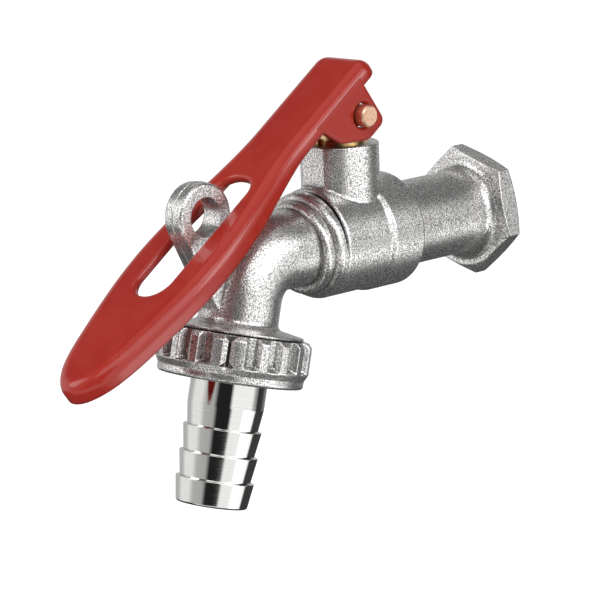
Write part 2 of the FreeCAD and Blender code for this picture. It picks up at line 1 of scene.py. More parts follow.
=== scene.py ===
# %% [markdown]
# # A lockable hose tap
# A ball valve with a nickelled brass body, a red lever that drops over an eye for a padlock, and
# a union nut that holds a hose tail. The solids come from the CAD model as a fixed frame. This
# script gives them their finishes, adds the small forged and cut details that a CAD solid leaves
# out, and sets up the light and the camera. Lengths are in metres.

# %% Load the frame
import bpy
import json
import math
from mathutils import Matrix, Vector


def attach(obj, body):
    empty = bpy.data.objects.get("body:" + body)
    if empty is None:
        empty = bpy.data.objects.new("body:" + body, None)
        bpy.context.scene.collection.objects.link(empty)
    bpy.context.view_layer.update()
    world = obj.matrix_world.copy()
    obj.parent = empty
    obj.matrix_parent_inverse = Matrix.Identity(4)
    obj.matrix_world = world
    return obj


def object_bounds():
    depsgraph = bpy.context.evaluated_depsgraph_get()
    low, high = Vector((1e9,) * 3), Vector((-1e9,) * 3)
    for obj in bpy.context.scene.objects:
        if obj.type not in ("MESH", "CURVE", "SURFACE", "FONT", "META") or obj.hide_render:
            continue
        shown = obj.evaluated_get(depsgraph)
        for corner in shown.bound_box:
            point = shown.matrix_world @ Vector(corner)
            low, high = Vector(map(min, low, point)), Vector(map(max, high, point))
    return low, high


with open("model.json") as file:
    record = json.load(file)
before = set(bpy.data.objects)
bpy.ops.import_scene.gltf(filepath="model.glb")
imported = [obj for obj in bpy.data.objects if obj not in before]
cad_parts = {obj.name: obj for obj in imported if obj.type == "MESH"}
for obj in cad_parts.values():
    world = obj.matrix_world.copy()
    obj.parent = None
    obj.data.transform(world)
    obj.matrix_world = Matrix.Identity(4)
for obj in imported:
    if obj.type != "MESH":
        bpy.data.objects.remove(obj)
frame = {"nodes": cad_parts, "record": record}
cad_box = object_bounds()
nodes = frame["nodes"]
mounts = {mount["name"]: mount for mount in frame["record"]["mounts"]}
MM = 0.001
print("CAD nodes:", len(nodes))

# %% [markdown]
# ## Camera
# The photograph was taken from the lever's side, a little above the tap, with a long lens, so
# lines that run away from the camera hardly meet. The camera stands where a fit to the hexagon,
# the boss, the nut and the tail puts it. It is turned about the upright first, then tipped down,
# and at last rolled a little about its own line of sight, as a hand-levelled camera often is.

# %% Camera
camera_place = Vector((-489.58, -456.68, 122.38)) * MM
camera_turn = math.radians(43.264)
camera_dip = math.radians(12.136)
camera_roll = math.radians(2.378)
camera_lens = 168.2


def looking_way(turn, dip):
    """The direction of view: turn runs from +Y towards +X, dip is below the horizon."""
    level = math.cos(dip)
    return Vector((math.sin(turn) * level, math.cos(turn) * level, -math.sin(dip)))


sight = looking_way(camera_turn, camera_dip)
camera = bpy.data.objects.new("camera", bpy.data.cameras.new("camera"))
bpy.context.scene.collection.objects.link(camera)
camera.data.lens = camera_lens
camera.data.sensor_width = 36.0
camera.data.clip_start = 0.01
camera.data.clip_end = 20.0
upright = sight.to_track_quat("-Z", "Y").to_matrix().to_4x4()
rolled = Matrix.Rotation(camera_roll, 4, sight)
camera.matrix_world = Matrix.Translation(camera_place) @ rolled @ upright
bpy.context.scene.camera = camera
print("camera looks along", [round(part, 3) for part in sight])

# %% [markdown]
# ## Helpers for shader nodes
# A material is a small graph. These helpers add a node with its values set, and join two sockets,
# so that each finish below reads as a short list of steps.

# %% Helpers for shader nodes
def add_node(tree, kind, **values):
    """Adds a shader node and sets its properties, or its inputs where no property has the name."""
    node = tree.nodes.new(kind)
    for name, value in values.items():
        if hasattr(node, name):
            setattr(node, name, value)
        else:
            node.inputs[name.replace("_", " ")].default_value = value
    return node


def ramp(tree, source, low, high, dark, light):
    """Turns a value between low and high into a grey or a colour between dark and light."""
    node = add_node(tree, "ShaderNodeValToRGB")
    node.color_ramp.elements[0].position = low
    node.color_ramp.elements[0].color = dark
    node.color_ramp.elements[1].position = high
    node.color_ramp.elements[1].color = light
    tree.links.new(source, node.inputs["Fac"])
    return node.outputs["Color"]


def grey(value):
    """A plain grey of this level, as a colour."""
    return (value, value, value, 1.0)


def maths(tree, operation, first, second):
    """One Math node. Each input is a socket or a number."""
    node = add_node(tree, "ShaderNodeMath", operation=operation)
    for socket, given in zip(node.inputs, (first, second)):
        if isinstance(given, (int, float)):
            socket.default_value = given
        else:
            tree.links.new(given, socket)
    return node.outputs["Value"]


def distance_from_axis(tree, across, side):
    """How far a point is from the Z axis, from its X and its Y."""
    squares = [maths(tree, "POWER", part, 2.0) for part in (across, side)]
    return maths(tree, "SQRT", maths(tree, "ADD", *squares), 0.0)


def new_group(name, inputs, outputs):
    """A node group with named sockets. inputs and outputs are (name, socket type) pairs."""
    group = bpy.data.node_groups.new(name, "ShaderNodeTree")
    for title, kind in inputs:
        group.interface.new_socket(title, in_out="INPUT", socket_type=kind)
    for title, kind in outputs:
        group.interface.new_socket(title, in_out="OUTPUT", socket_type=kind)
    return group, group.nodes.new("NodeGroupInput"), group.nodes.new("NodeGroupOutput")


print("helpers ready")

# %% [markdown]
# ## Shared effects
# Five effects are built as node groups, each once, and placed in a finish with its own values.
# **Grain** is the peppering that blasting leaves on a forging: dark pits and bright facets about
# a quarter of a millimetre across. It could be one noise, but two sizes added together look less
# like television snow. **Turning marks** are the rings that a lathe tool leaves round an axis.
# **Edge wear** finds the corners of a piece, where tumbling and hands rub the plate smooth.
# ** Shade in recesses** finds the slots, the inner corners and the gaps between pieces, and darkens them: this is painted shade.
# **Handling** is the slow, cloudy change that plating and fingers give to any surface.

# %% Grain group
FLOAT = "NodeSocketFloat"
VECTOR = "NodeSocketVector"
fine_share = 0.84
grain, grain_in, grain_out = new_group(
    "grain", [("Vector", VECTOR), ("Size", FLOAT)], [("Mask", FLOAT), ("Height", FLOAT)])
per_metre = maths(grain, "DIVIDE", 1.0, grain_in.outputs["Size"])
fine = add_node(grain, "ShaderNodeTexNoise", Detail=0.5, Roughness=0.5)
coarse = add_node(grain, "ShaderNodeTexNoise", Detail=2.0, Roughness=0.6)
for noise, share in ((fine, 1.0), (coarse, 0.45)):
    grain.links.new(grain_in.outputs["Vector"], noise.inputs["Vector"])
    grain.links.new(maths(grain, "MULTIPLY", per_metre, share), noise.inputs["Scale"])
both = maths(grain, "ADD", maths(grain, "MULTIPLY", fine.outputs["Fac"], fine_share),
             maths(grain, "MULTIPLY", coarse.outputs["Fac"], 1.0 - fine_share))
grain.links.new(ramp(grain, both, 0.41, 0.59, grey(0.0), grey(1.0)), grain_out.inputs["Mask"])
grain.links.new(both, grain_out.inputs["Height"])
print("group", grain.name)

# %% Turning marks group
turning, turning_in, turning_out = new_group(
    "turning_marks", [("Vector", VECTOR), ("Pitch", FLOAT)], [("Mask", FLOAT), ("Height", FLOAT)])
apart = add_node(turning, "ShaderNodeSeparateXYZ")
turning.links.new(turning_in.outputs["Vector"], apart.inputs["Vector"])
from_axis = distance_from_axis(turning, apart.outputs["X"], apart.outputs["Y"])
along = maths(turning, "ADD", apart.outputs["Z"], from_axis)
rings = add_node(turning, "ShaderNodeTexNoise", noise_dimensions="1D", Detail=3.0,
                 Roughness=0.7, Scale=1.0)
turning.links.new(maths(turning, "DIVIDE", along, turning_in.outputs["Pitch"]), rings.inputs["W"])
turning.links.new(ramp(turning, rings.outputs["Fac"], 0.3, 0.7, grey(0.0), grey(1.0)),
                  turning_out.inputs["Mask"])
turning.links.new(rings.outputs["Fac"], turning_out.inputs["Height"])
print("group", turning.name)

# %% Edge wear group
edge_wear, edge_in, edge_out = new_group("edge_wear", [("Width", FLOAT)], [("Mask", FLOAT)])
rounded = add_node(edge_wear, "ShaderNodeBevel", samples=6)
flat = add_node(edge_wear, "ShaderNodeNewGeometry")
closeness = add_node(edge_wear, "ShaderNodeVectorMath", operation="DOT_PRODUCT")
edge_wear.links.new(edge_in.outputs["Width"], rounded.inputs["Radius"])
edge_wear.links.new(rounded.outputs["Normal"], closeness.inputs[0])
edge_wear.links.new(flat.outputs["Normal"], closeness.inputs[1])
edge_wear.links.new(ramp(edge_wear, closeness.outputs["Value"], 0.90, 0.995, grey(1.0), grey(0.0)),
                    edge_out.inputs["Mask"])
print("group", edge_wear.name)

# %% Painted shade group
# Painted shade: an Ambient Occlusion node finds slots, inner corners and gaps between pieces, and
# its mask darkens them.
recess_shade, recess_shade_in, recess_shade_out = new_group("recess_shade", [("Depth", FLOAT)], [("Mask", FLOAT)])
openness = add_node(recess_shade, "ShaderNodeAmbientOcclusion", samples=8)
recess_shade.links.new(recess_shade_in.outputs["Depth"], openness.inputs["Distance"])
recess_shade.links.new(ramp(recess_shade, openness.outputs["AO"], 0.45, 0.92, grey(1.0), grey(0.0)),
                 recess_shade_out.inputs["Mask"])
print("group", recess_shade.name)

# %% Handling group
handling, handling_in, handling_out = new_group(
    "handling", [("Vector", VECTOR), ("Size", FLOAT)], [("Mask", FLOAT)])
clouds = add_node(handling, "ShaderNodeTexNoise", Detail=4.0, Roughness=0.55)
handling.links.new(handling_in.outputs["Vector"], clouds.inputs["Vector"])
handling.links.new(maths(handling, "DIVIDE", 1.0, handling_in.outputs["Size"]),
                   clouds.inputs["Scale"])
handling.links.new(ramp(handling, clouds.outputs["Fac"], 0.35, 0.7, grey(0.0), grey(1.0)),
                   handling_out.inputs["Mask"])
print("group", handling.name)

# %% [markdown]
# ## A start for each material
# Every finish here reads Object coordinates, so the pattern is fixed to the metal and doesn't
# slide when a piece moves. Each one ends in a Principled shader, whose plain numbers are set on
# its own sockets.

# %% Material helpers
def start_material(name, **values):
    """A new material, its tree, its shader with these values, and the Object coordinates."""
    material = bpy.data.materials.new(name)
    material.use_nodes = True
    tree = material.node_tree
    shader = tree.nodes["Principled BSDF"]
    for title, value in values.items():
        shader.inputs[title.replace("_", " ")].default_value = value
    place = add_node(tree, "ShaderNodeTexCoord")
    return material, tree, shader, place.outputs["Object"]


def use_group(tree, group, vector, **values):
    """Places a group in a material, with its coordinates, where it reads any, and its values."""
    node = add_node(tree, "ShaderNodeGroup", node_tree=group)
    if vector is not None:
        tree.links.new(vector, node.inputs["Vector"])
    for title, value in values.items():
        node.inputs[title].default_value = value
    return node


def blend_colour(tree, mask, first, second, mode="MIX"):
    """Mixes two colours by a mask. Each is a socket or a plain value.

    The Mix node has sockets for each kind of data: 0 is its factor, 6 and 7 are its colours.
    """
    node = add_node(tree, "ShaderNodeMix", data_type="RGBA", blend_type=mode)
    if isinstance(mask, (int, float)):
        node.inputs[0].default_value = mask
    else:
        tree.links.new(mask, node.inputs[0])
    for socket, given in zip((node.inputs[6], node.inputs[7]), (first, second)):
        if isinstance(given, tuple):
            socket.default_value = given
        else:
            tree.links.new(given, socket)
    return node.outputs[2]


def bump(tree, shader, height, strength, distance):
    """Tips the shader's surface by a height map, as deep as the distance."""
    node = add_node(tree, "ShaderNodeBump", Strength=strength, Distance=distance)
    tree.links.new(height, node.inputs["Height"])
    tree.links.new(node.outputs["Normal"], shader.inputs["Normal"])
    return node


def turned_space(tree, coordinates, centre, lean):
    """Coordinates whose Z runs along a turned piece's axis, through its centre."""
    shift = add_node(tree, "ShaderNodeVectorMath", operation="SUBTRACT")
    tree.links.new(coordinates, shift.inputs[0])
    shift.inputs[1].default_value = centre
    turn = add_node(tree, "ShaderNodeVectorRotate", rotation_type="Y_AXIS")
    tree.links.new(shift.outputs["Vector"], turn.inputs["Vector"])
    turn.inputs["Angle"].default_value = lean
    return turn.outputs["Vector"]


print("material helpers ready")

# %% [markdown]
# ## Thread on the outlet
# The nut runs on a thread cut on the outlet, which shows once the nut is down. Its grooves go into
# the solid, and a CAD mesh is left as it is, so here they are drawn by a bump. Going once round the
# axis moves a groove one pitch along it, so the place along the axis and the angle round it are
# added, and a ping-pong turns the sum into flanks that rise and fall.

# %% Thread on the outlet
outlet_lean = math.radians(14.9)
outlet_centre = Vector((-75.4, 0.0, 0.0)) * MM
union_pitch = 1.814 * MM
union_groove_depth = 0.9 * MM
outlet_thread_zone = (-23.0 * MM, -19.0 * MM)
outlet_thread_root = 12.5 * MM


def outlet_thread(tree, coordinates):
    """The height of the outlet's thread: 1 on a crest and off the thread, 0 in a groove."""
    on_axis = turned_space(tree, coordinates, outlet_centre, -outlet_lean)
    apart = add_node(tree, "ShaderNodeSeparateXYZ")
    tree.links.new(on_axis, apart.inputs["Vector"])
    across, side, along = (apart.outputs[name] for name in "XYZ")
    turns = maths(tree, "DIVIDE", maths(tree, "ARCTAN2", side, across), 2 * math.pi)
    pitches = maths(tree, "ADD", maths(tree, "DIVIDE", along, union_pitch), turns)
    depth = maths(tree, "PINGPONG", pitches, 0.5)
    past_root = maths(tree, "GREATER_THAN", distance_from_axis(tree, across, side),
                      outlet_thread_root)
    in_zone = maths(tree, "MULTIPLY", maths(tree, "GREATER_THAN", along, outlet_thread_zone[0]),
                    maths(tree, "LESS_THAN", along, outlet_thread_zone[1]))
    groove = maths(tree, "MULTIPLY", maths(tree, "MULTIPLY", past_root, in_zone), depth)
    return maths(tree, "SUBTRACT", 1.0, maths(tree, "MULTIPLY", groove, 2.0))


print("outlet thread, pitch mm", round(union_pitch * 1000, 3))

# %% [markdown]
# ## Blasted nickel
# The forgings are blasted before they are plated, so the plate is bright but peppered. The grain
# does three things at once: it darkens the pits, it changes how sharp the shine is, and it tips
# the surface, which is what makes single grains glint. Rubbed corners are smoother and paler. The
# slots, the inner corners and the gaps between pieces are darkened: that is painted shade. A Bevel
# node eases the corners for the light alone, so that they catch a thin highlight as forged ones
# do, and a small share of plain diffuse colour stands for the light that a blasted surface
# scatters. The body is given the outlet's thread as well.

# %% Blasted nickel
pepper_size = 0.29 * MM
rubbed_width = 0.35 * MM
# How far the painted shade reaches into slots, corners and gaps between pieces.
shade_reach = 2.1 * MM
eased_radius = 0.45 * MM
# The near-black of the painted shade in slots, corners and gaps between pieces.
shade_colour = (0.06, 0.06, 0.058, 1.0)


def blasted_nickel(name, light, dark, thread=None):
    """Peppered plate, with facets in the light colour and pits in the dark one.

    thread is a function that gives the height of a thread, for a piece that shows one.
    """
    material, tree, shader, place = start_material(name, Metallic=0.86)
    pepper = use_group(tree, grain, place, Size=pepper_size)
    cloud = use_group(tree, handling, place, Size=20 * MM)
    peppered = blend_colour(tree, pepper.outputs["Mask"], dark, light)
    rubbed = use_group(tree, edge_wear, None, Width=rubbed_width).outputs["Mask"]
    soft = ramp(tree, cloud.outputs["Mask"], 0.0, 1.0, grey(0.90), grey(1.0))
    clouded = blend_colour(tree, 1.0, peppered, soft, "MULTIPLY")
    bright_edged = blend_colour(tree, maths(tree, "MULTIPLY", rubbed, 0.7), clouded, light)
    # Painted shade: slots, inner corners and gaps between pieces are blended towards a near-black.
    painted_shade = use_group(tree, recess_shade, None, Depth=shade_reach).outputs["Mask"]
    tree.links.new(blend_colour(tree, maths(tree, "MULTIPLY", painted_shade, 0.9), bright_edged, shade_colour),
                   shader.inputs["Base Color"])
    blasted = ramp(tree, pepper.outputs["Mask"], 0.0, 1.0, grey(0.36), grey(0.25))
    tree.links.new(blend_colour(tree, maths(tree, "MULTIPLY", rubbed, 0.8), blasted, grey(0.15)),
                   shader.inputs["Roughness"])
    peened = bump(tree, shader, pepper.outputs["Height"], 0.55, 0.09 * MM)
    under = add_node(tree, "ShaderNodeBevel", samples=6, Radius=eased_radius)
    if thread:
        cut = add_node(tree, "ShaderNodeBump", Strength=1.0, Distance=union_groove_depth)
        tree.links.new(thread(tree, place), cut.inputs["Height"])
        tree.links.new(under.outputs["Normal"], cut.inputs["Normal"])
        under = cut
    tree.links.new(under.outputs["Normal"], peened.inputs["Normal"])
    return material


facet_light = (1.0, 0.99, 0.975, 1.0)
pit_dark = (0.31, 0.305, 0.30, 1.0)
nickel_blasted = blasted_nickel("nickel_blasted", facet_light, pit_dark)
nickel_body = blasted_nickel("nickel_blasted_body", facet_light, pit_dark, outlet_thread)
print(nickel_blasted.name, nickel_body.name)

# %% [markdown]
# ## Polished nickel
# The hose tail is turned from bar and plated bright, so it mirrors the studio in long streaks.
# Fine rings from the tool keep it from looking like glass. The rings need the tail's own axis,
# which leans, so the coordinates are moved and turned before the group reads them.

# %% Polished nickel
def polished_nickel(name, centre, lean, base, roughness):
    """Bright plate over fine turning marks round an axis through the centre."""
    material, tree, shader, place = start_material(name, Metallic=1.0)
    axis = turned_space(tree, place, centre, lean)
    lines = use_group(tree, turning, axis, Pitch=0.22 * MM)
    cloud = use_group(tree, handling, place, Size=12 * MM)
    dull = tuple(part * 0.82 for part in base[:3]) + (1.0,)
    tree.links.new(blend_colour(tree, lines.outputs["Mask"], dull, base),
                   shader.inputs["Base Color"])
    handled = grey(roughness * 1.5)
    tree.links.new(ramp(tree, cloud.outputs["Mask"], 0.0, 1.0, grey(roughness), handled),
                   shader.inputs["Roughness"])
    bump(tree, shader, lines.outputs["Height"], 0.12, 0.04 * MM)
    return material


frame_origin = Vector((0.0, 0.0, 0.0))
nickel_tail = polished_nickel("nickel_polished_tail", outlet_centre, -outlet_lean,
                              (0.72, 0.715, 0.70, 1.0), 0.06)
nickel_ball = polished_nickel("nickel_polished_ball", frame_origin, 0.0,
                              (0.83, 0.82, 0.80, 1.0), 0.08)
print(nickel_tail.name, nickel_ball.name)

# %% [markdown]
# ## Brass and copper
# The stem, the gland nut and the packing follower are bare brass, turned about the upright stem.
# The pin is a copper-coloured rod with a sawn end: its face has grain instead of rings.

# %% Brass and copper
stem_centre = Vector((-45.4, 0.0, 0.0)) * MM


def turned_brass(name, base, tarnish, roughness):
    """Bare brass with rings round the stem and clouds of tarnish."""
    material, tree, shader, place = start_material(name, Metallic=1.0)
    axis = turned_space(tree, place, stem_centre, 0.0)
    lines = use_group(tree, turning, axis, Pitch=0.20 * MM)
    cloud = use_group(tree, handling, place, Size=6 * MM)
    aged = blend_colour(tree, cloud.outputs["Mask"], base, tarnish)
    dimmed = ramp(tree, lines.outputs["Mask"], 0.0, 1.0, grey(0.80), grey(1.0))
    tree.links.new(blend_colour(tree, 1.0, aged, dimmed, "MULTIPLY"), shader.inputs["Base Color"])
    tarnished = grey(roughness + 0.12)
    tree.links.new(ramp(tree, cloud.outputs["Mask"], 0.0, 1.0, grey(roughness), tarnished),
                   shader.inputs["Roughness"])
    bump(tree, shader, lines.outputs["Height"], 0.25, 0.05 * MM)
    return material


def sawn_copper(name):
    """Copper with the grain of a sawn face."""
    material, tree, shader, place = start_material(name, Metallic=1.0)
    pits = use_group(tree, grain, place, Size=0.30 * MM)
    cloud = use_group(tree, handling, place, Size=3 * MM)
    rosy = blend_colour(tree, pits.outputs["Mask"], (0.62, 0.34, 0.21, 1.0),
                        (0.93, 0.66, 0.48, 1.0))
    tree.links.new(blend_colour(tree, cloud.outputs["Mask"], rosy, (0.88, 0.60, 0.44, 1.0)),
                   shader.inputs["Base Color"])
    tree.links.new(ramp(tree, pits.outputs["Mask"], 0.0, 1.0, grey(0.50), grey(0.34)),
                   shader.inputs["Roughness"])
    bump(tree, shader, pits.outputs["Height"], 0.5, 0.10 * MM)
    return material


stem_brass = turned_brass("stem_brass", (0.80, 0.60, 0.32, 1.0), (0.55, 0.38, 0.17, 1.0), 0.25)
gland_brass = turned_brass("gland_brass", (0.88, 0.70, 0.42, 1.0), (0.62, 0.44, 0.20, 1.0),
                           0.22)
pin_copper = sawn_copper("pin_copper")
print(stem_brass.name, gland_brass.name, pin_copper.name)

# %% [markdown]
# ## Red lever
# The pressed lever is dipped in a thick glossy red coat. The red itself is deep and even. Its
# depth comes from a clear coat over a softer red, a faint orange-peel ripple, and paler rubbed
# places where the eye and fingers touch it. A thick coat pulls itself round at every edge. A Bevel
# node gives the light that rounder edge, wider than the solid's own, so the folded edge carries a
# broad soft highlight.

# %% Red lever
coat_pull = 1.6 * MM
deep_red = (0.38, 0.011, 0.007, 1.0)
warm_red = (0.44, 0.025, 0.012, 1.0)
rubbed_red = (0.62, 0.10, 0.07, 1.0)


def dipped_red(name):
    """Red lacquer under a clear coat."""
    material, tree, shader, place = start_material(
        name, Metallic=0.0, Specular_IOR_Level=0.18, Coat_Weight=0.60, Coat_Roughness=0.12)
    cloud = use_group(tree, handling, place, Size=30 * MM).outputs["Mask"]
    rub = use_group(tree, handling, place, Size=4 * MM).outputs["Mask"]
    ripple = use_group(tree, grain, place, Size=1.6 * MM)
    red = blend_colour(tree, cloud, deep_red, warm_red)
    tree.links.new(blend_colour(tree, maths(tree, "MULTIPLY", rub, 0.10), red, rubbed_red),
                   shader.inputs["Base Color"])
    tree.links.new(ramp(tree, rub, 0.0, 1.0, grey(0.30), grey(0.40)), shader.inputs["Roughness"])
    rippled = bump(tree, shader, ripple.outputs["Height"], 0.10, 0.10 * MM)
    drawn_round = add_node(tree, "ShaderNodeBevel", samples=8, Radius=coat_pull)
    tree.links.new(drawn_round.outputs["Normal"], rippled.inputs["Normal"])
    return material


lever_red = dipped_red("lever_red")
print(lever_red.name)

# %% [markdown]
# ## Seals
# The seats, the washer and the packing are white plastic, the ring behind the adapter is red
# fibre, and the gasket and the stem rings are black rubber. They are hidden until the tap is
# taken apart, but each still has its own grain and sheen.

# %% Seals
def seal(name, light, dark, roughness, grain_size, depth):
    """A soft material, speckled in two close colours, with its grain pressed in by the depth."""
    material, tree, shader, place = start_material(name, Metallic=0.0)
    pits = use_group(tree, grain, place, Size=grain_size)
    cloud = use_group(tree, handling, place, Size=8 * MM).outputs["Mask"]
    speckled = blend_colour(tree, pits.outputs["Mask"], dark, light)
    tree.links.new(blend_colour(tree, cloud, speckled, light), shader.inputs["Base Color"])
    tree.links.new(ramp(tree, cloud, 0.0, 1.0, grey(roughness - 0.08), grey(roughness)),
                   shader.inputs["Roughness"])
    bump(tree, shader, pits.outputs["Height"], depth, 0.08 * MM)
    return material


seal_white = seal("seal_white", (0.86, 0.86, 0.83, 1.0), (0.78, 0.78, 0.75, 1.0),
                  0.45, 0.6 * MM, 0.08)
seal_fibre = seal("seal_fibre", (0.42, 0.10, 0.08, 1.0), (0.26, 0.05, 0.04, 1.0),
                  0.85, 0.4 * MM, 0.5)
seal_rubber = seal("seal_rubber", (0.045, 0.045, 0.047, 1.0), (0.025, 0.025, 0.026, 1.0),
                   0.62, 0.5 * MM, 0.2)
print(seal_white.name, seal_fibre.name, seal_rubber.name)

# %% [markdown]
# ## Dress the CAD nodes
# Each CAD node keeps its shape and gets its finish through its material slots.

# %% Dress the CAD nodes
finishes = {
    "body": nickel_body, "inlet_adapter": nickel_blasted, "union_nut": nickel_blasted,
    "hose_tail": nickel_tail, "ball": nickel_ball,
    "stem": stem_brass, "gland_nut": gland_brass, "packing_follower": gland_brass,
    "lever_pin": pin_copper, "lever": lever_red,
    "seat_front": seal_white, "seat_rear": seal_white, "thrust_washer": seal_white,
    "gland_packing": seal_white, "adapter_seal_ring": seal_fibre,
    "tail_gasket": seal_rubber, "stem_oring_lower": seal_rubber, "stem_oring_upper": seal_rubber,
}
for name, finish in finishes.items():
    for slot in nodes[name].material_slots:
        slot.material = finish
print("dressed", len(finishes), "of", len(nodes))

# %% [markdown]
# ## Helpers for modelling
# New pieces are modelled as by hand, so the selection matters. `alone` clears it, and
# `finish_piece` moves a piece's place into its mesh, merges its doubles, points its faces outwards
# and gives it its name, its body, its slot and its finish.

# %% Helpers for modelling
def alone():
    """Leaves edit mode and deselects everything."""
    if bpy.context.object and bpy.context.object.mode != "OBJECT":
        bpy.ops.object.mode_set(mode="OBJECT")
    bpy.ops.object.select_all(action="DESELECT")


def finish_piece(piece, name, body, material, smooth=40.0):
    """Applies the piece's place, cleans and smooths its mesh, and says what it rides on."""
    alone()
    piece.select_set(True)
    bpy.context.view_layer.objects.active = piece
    bpy.ops.object.transform_apply(location=True, rotation=True, scale=True)
    bpy.ops.object.mode_set(mode="EDIT")
    bpy.ops.mesh.select_all(action="SELECT")
    bpy.ops.mesh.remove_doubles(threshold=0.001 * MM)
    bpy.ops.mesh.normals_make_consistent(inside=False)
    bpy.ops.object.mode_set(mode="OBJECT")
    bpy.ops.object.shade_smooth_by_angle(angle=math.radians(smooth))
    piece.name = name
    piece.data.name = name
    piece.data.materials.clear()
    piece.data.materials.append(material)
    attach(piece, body)
    print(name, "faces", len(piece.data.polygons), "size mm",
          [round(side * 1000, 2) for side in piece.dimensions])


# %% [markdown]
# ## Thread in the inlet
# The inlet's thread is cut after forging. It could be a bump in the material, but a bump has no
# edge against the light, so it is modelled: one small profile is turned and pushed along the bore
# by a Screw modifier. The CAD bore stands at the crests, so the ridges rise a little inside it.
# The profile is a circle of four vertices, which is a square on its corner. Scaled flat, it leaves
# a ridge with two flanks, whose outer half stays inside the wall.

# %% Thread in the inlet
inlet = mounts["inlet_thread"]
inlet_radius = inlet["dims"]["r_mm"] * MM
inlet_pitch = 1.337 * MM
ridge_height = 0.42 * MM
ridge_half_width = 0.44 * inlet_pitch
ridge_sunk = 0.05 * MM
ridge_turns = 8
steps_a_turn = 48
ridge_start = -inlet_pitch * (ridge_turns + 0.6)
alone()
bpy.ops.mesh.primitive_circle_add(vertices=4, radius=ridge_half_width, fill_type="NOTHING")
ridge = bpy.context.object
bpy.ops.object.mode_set(mode="EDIT")
bpy.ops.mesh.select_all(action="SELECT")
bpy.ops.transform.rotate(value=math.radians(90), orient_axis="X", center_override=(0, 0, 0))
bpy.ops.transform.resize(value=(1.0, 1.0, ridge_height / ridge_half_width))
bpy.ops.transform.translate(value=(ridge_start, 0.0, inlet_radius + ridge_sunk))
bpy.ops.object.mode_set(mode="OBJECT")
screw = ridge.modifiers.new("screw", "SCREW")
screw.axis = "X"
screw.angle = 2 * math.pi
screw.screw_offset = inlet_pitch
screw.iterations = ridge_turns
screw.steps = steps_a_turn
screw.render_steps = steps_a_turn
screw.use_normal_calculate = True
bpy.ops.object.modifier_apply(modifier="screw")
bpy.ops.object.mode_set(mode="EDIT")
bpy.ops.mesh.select_all(action="DESELECT")
bpy.ops.mesh.select_mode(type="EDGE")
bpy.ops.mesh.select_non_manifold()
bpy.ops.mesh.edge_face_add()
bpy.ops.object.mode_set(mode="OBJECT")
finish_piece(ridge, "inlet_thread_ridge", "valve_body", nickel_blasted, 30.0)
print("inlet ridge starts at x mm", round(ridge_start * 1000, 2))

# %% [markdown]
# ## Parting line on the eye
# The two halves of the forging die meet along the middle of the eye's edge and leave a fine raised
# line there. A circle gives its upper part. The vertices that would lie inside the forging are
# taken away, the open end in front is drawn down the eye's straight edge and the one at the back
# straight down, and a thin round section is swept along the line. It could be painted on, but only
# a real ridge throws its own thin shadow.

# %% Places on the eye
eye_centre = Vector(mounts["padlock_eye"]["pos_m"])
eye_radius = 7.5 * MM
eye_foot = Vector((-86.4, 0.0, -11.5)) * MM
eye_back_drop = 9.0 * MM
down = eye_foot - eye_centre
straight = math.sqrt(down.length ** 2 - eye_radius ** 2)
touch_turn = math.degrees(math.atan2(down.z, down.x) - math.acos(eye_radius / down.length)) % 360
print("touches at", round(touch_turn, 1), "degrees, straight part", round(straight * 1000, 1), "mm")

# %% Helpers for the parting line
def turn_about_eye(vertex):
    """Where a vertex stands on the eye, in degrees from its back and upwards."""
    way = vertex.co - eye_centre
    return math.degrees(math.atan2(way.z, way.x)) % 360


def choose(piece, test):
    """Selects the vertices that pass the test, and goes to edit mode."""
    bpy.ops.object.mode_set(mode="EDIT")
    bpy.ops.mesh.select_mode(type="VERT")
    bpy.ops.mesh.select_all(action="DESELECT")
    bpy.ops.object.mode_set(mode="OBJECT")
    for vertex in piece.data.vertices:
        vertex.select = test(vertex)
    bpy.ops.object.mode_set(mode="EDIT")


print("helpers for the parting line ready")

# %% Upper part of the parting line
seam_round = 0.28 * MM
seam_rise = 0.16 * MM
end_gap = 1.0
last_turn = 360.0 - end_gap
alone()
bpy.ops.mesh.primitive_circle_add(vertices=96, radius=eye_radius - seam_round + seam_rise,
                                  location=eye_centre, rotation=(math.radians(90), 0, 0))
parting = bpy.context.object
bpy.ops.object.transform_apply(location=True, rotation=True, scale=True)
choose(parting, lambda vertex: touch_turn + end_gap < turn_about_eye(vertex) < last_turn)
bpy.ops.mesh.delete(type="VERT")
bpy.ops.object.mode_set(mode="OBJECT")
front_turn = max(turn for turn in map(turn_about_eye, parting.data.vertices) if turn < last_turn)
print("vertices on the arc", len(parting.data.vertices), "front end at", round(front_turn, 1))

# %% Ends and section of the parting line
same_turn = 0.1
same_height = 0.01 * MM
choose(parting, lambda vertex: abs(turn_about_eye(vertex) - front_turn) < same_turn)
along_edge = math.radians(touch_turn + 90)
bpy.ops.mesh.extrude_region_move(TRANSFORM_OT_translate={
    "value": (math.cos(along_edge) * straight, 0.0, math.sin(along_edge) * straight)})
choose(parting, lambda vertex: abs(vertex.co.z - eye_centre.z) < same_height
       and vertex.co.x > eye_centre.x)
bpy.ops.mesh.extrude_region_move(TRANSFORM_OT_translate={"value": (0.0, 0.0, -eye_back_drop)})
bpy.ops.object.mode_set(mode="OBJECT")
bpy.ops.object.convert(target="CURVE")
parting = bpy.context.object
parting.data.bevel_depth = seam_round
parting.data.bevel_resolution = 3
parting.data.use_fill_caps = True
bpy.ops.object.convert(target="MESH")
parting = bpy.context.object
finish_piece(parting, "eye_parting_line", "valve_body", nickel_blasted, 50.0)

# %% [markdown]
# ## Floor and background
# The photograph has a plain white ground. A wide pale floor lies well below the tap, which is held
# by its inlet and doesn't stand on anything. For the camera alone a glow lifts the floor to white,
# and it still keeps the tap's shadow. Reflections look through it, to the boards of the studio.

